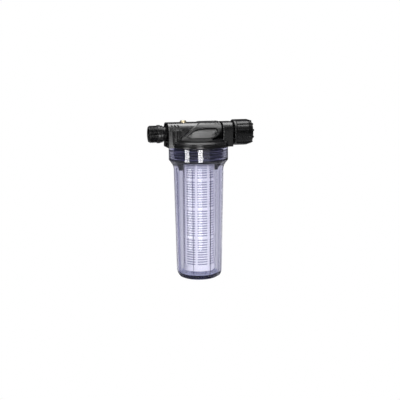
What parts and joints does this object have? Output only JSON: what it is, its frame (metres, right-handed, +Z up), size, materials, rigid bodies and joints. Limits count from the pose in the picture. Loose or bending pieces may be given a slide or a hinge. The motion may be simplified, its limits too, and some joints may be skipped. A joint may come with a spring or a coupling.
{
  "type": "inline water filter",
  "caption": "Inline water strainer with a threaded inlet, a swivelling union nut at the outlet, a vent screw and a clear screw-on bowl that holds a washable slotted cartridge.",
  "frame": {"origin": "centre of the bowl's flat base, on the bowl's axis", "axes": "+Z up along the bowl's axis towards the head; +X along the port axis towards the outlet's union nut; -Y is the front"},
  "size_m": [0.2055, 0.1156, 0.3104],
  "materials": {
    "head_plastic": "satin moulded black plastic",
    "fitting_plastic": "semi-gloss moulded black plastic",
    "nut_plastic": "semi-gloss moulded black plastic",
    "seal_rubber": "smooth black rubber",
    "vent_brass": "turned brass",
    "clear_bowl": "clear, with a faint violet-blue tint",
    "cartridge_plastic": "smooth white moulded plastic",
    "strainer_mesh": "fine woven strainer mesh",
    "cartridge_gasket": "pale soft gasket"
  },
  "bodies": {
    "head": {"head": "head_plastic", "inlet_nipple": "fitting_plastic", "inlet_o_ring": "seal_rubber", "outlet_tailpiece": "fitting_plastic", "outlet_o_ring": "seal_rubber", "union_gasket": "seal_rubber", "vent_insert": "vent_brass", "bowl_o_ring": "seal_rubber", "centring_ring": "head_plastic"},
    "nut": {"union_nut": "nut_plastic"},
    "vent_seal": {"vent_o_ring": "seal_rubber"},
    "vent_screw": {"vent_screw": "vent_brass"},
    "cartridge": {"cartridge_cage": "cartridge_plastic", "cartridge_mesh": "strainer_mesh", "cartridge_inner_frame": "cartridge_plastic", "cartridge_top_cap": "cartridge_plastic", "cartridge_bottom_cap": "cartridge_plastic", "cartridge_top_gasket": "cartridge_gasket", "cartridge_bottom_gasket": "cartridge_gasket"},
    "bowl": {"bowl": "clear_bowl"}
  },
  "joints": [
    {"name": "nut_spin", "type": "hinge", "parent": "head", "child": "nut", "pos_m": [0.09, 0, 0.285], "axis": [1, 0, 0], "continuous": true},
    {"name": "vent_lift", "type": "slide", "parent": "head", "child": "vent_seal", "axis": [0, 0, 1], "range_m": [0, 0.0027]},
    {"name": "vent_turn", "type": "hinge", "parent": "vent_seal", "child": "vent_screw", "pos_m": [-0.03, 0, 0.308], "axis": [0, 0, 1], "range_deg": [0, 1080]},
    {"name": "bowl_drop", "type": "slide", "parent": "head", "child": "cartridge", "axis": [0, 0, -1], "range_m": [0, 0.01955]},
    {"name": "bowl_turn", "type": "hinge", "parent": "cartridge", "child": "bowl", "pos_m": [0, 0, 0.2], "axis": [0, 0, -1], "range_deg": [0, 1350]}
  ],
  "couplings": [
    {"joint": "vent_turn", "follows": "vent_lift", "rad_per_m": 6927.4},
    {"joint": "bowl_drop", "follows": "bowl_turn", "m_per_rad": 0.00082761}
  ]
}
